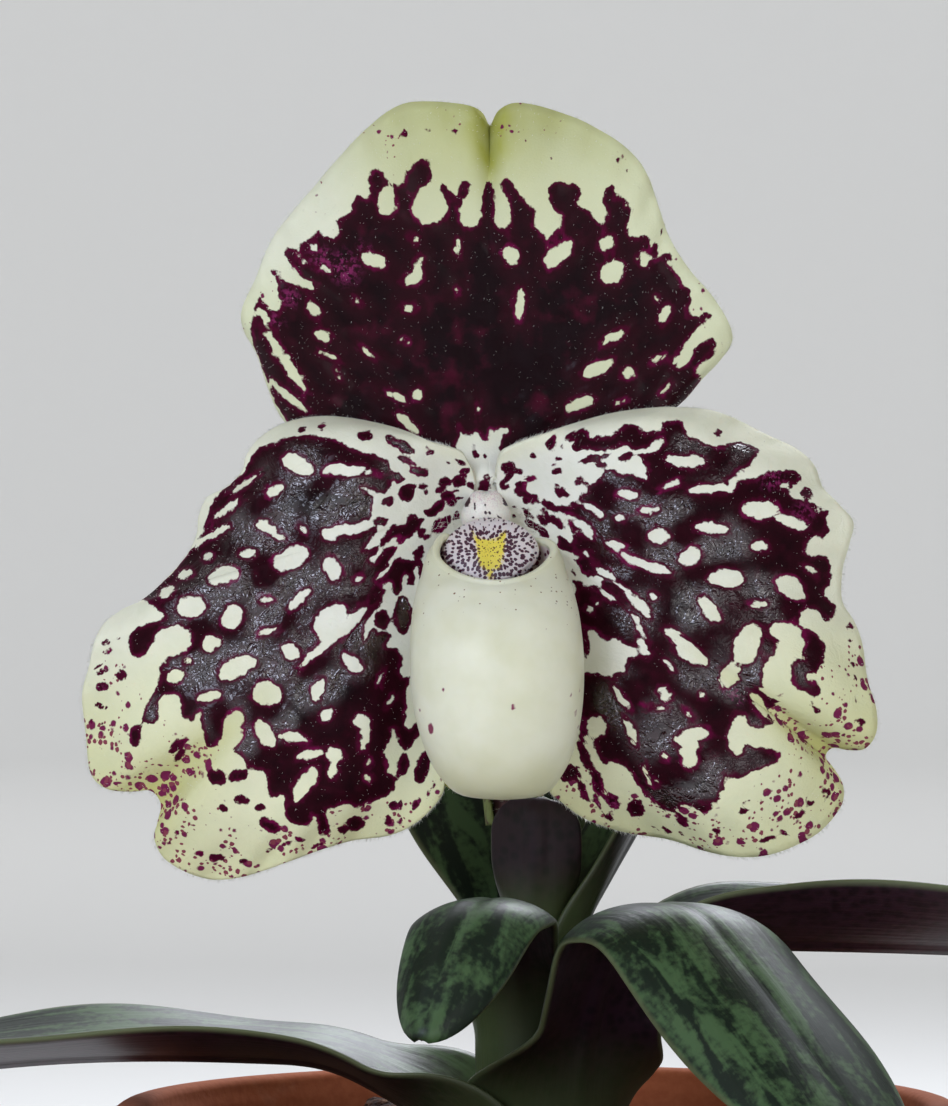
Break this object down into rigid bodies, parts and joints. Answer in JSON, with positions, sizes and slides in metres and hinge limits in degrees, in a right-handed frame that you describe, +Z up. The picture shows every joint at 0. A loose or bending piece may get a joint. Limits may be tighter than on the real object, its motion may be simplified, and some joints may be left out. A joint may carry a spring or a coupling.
{
  "type": "potted slipper orchid",
  "caption": "Slipper orchid in flower in a plain clay pot: a broad spotted dorsal sepal, wide waved petals and a pouch over a fan of mottled leaves.",
  "frame": {"origin": "centre of the pot's flat underside", "axes": "+Z up along the pot's axis; the bloom faces -Y; +X is to the viewer's right"},
  "size_m": [0.2009, 0.1001, 0.177],
  "materials": {
    "clay": "matte unglazed clay",
    "bark": "rough bark",
    "root": "matte, downy",
    "leaf": "satin, mottled",
    "stem": "matte, hairy",
    "bract": "matte",
    "spotted_petal": "glossy where dark, satin where pale",
    "cream_sepal": "satin",
    "cream_pouch": "waxy satin",
    "spotted_shield": "satin, speckled",
    "anther": "matte"
  },
  "bodies": {
    "root": {"pot": "clay", "bark_mix": "bark", "rootstock": "root", "leaf_heart": "leaf", "leaf_right_upright": "leaf", "leaf_left_upright": "leaf", "leaf_left_front": "leaf", "leaf_right": "leaf", "leaf_right_front": "leaf", "leaf_left": "leaf", "stem": "stem", "ovary": "stem", "bract": "bract", "dorsal_sepal": "spotted_petal", "lower_sepal": "cream_sepal", "petal_left": "spotted_petal", "petal_right": "spotted_petal", "pouch": "cream_pouch", "column": "cream_sepal", "shield": "spotted_shield", "anther_left": "anther", "anther_right": "anther"}
  },
  "joints": []
}
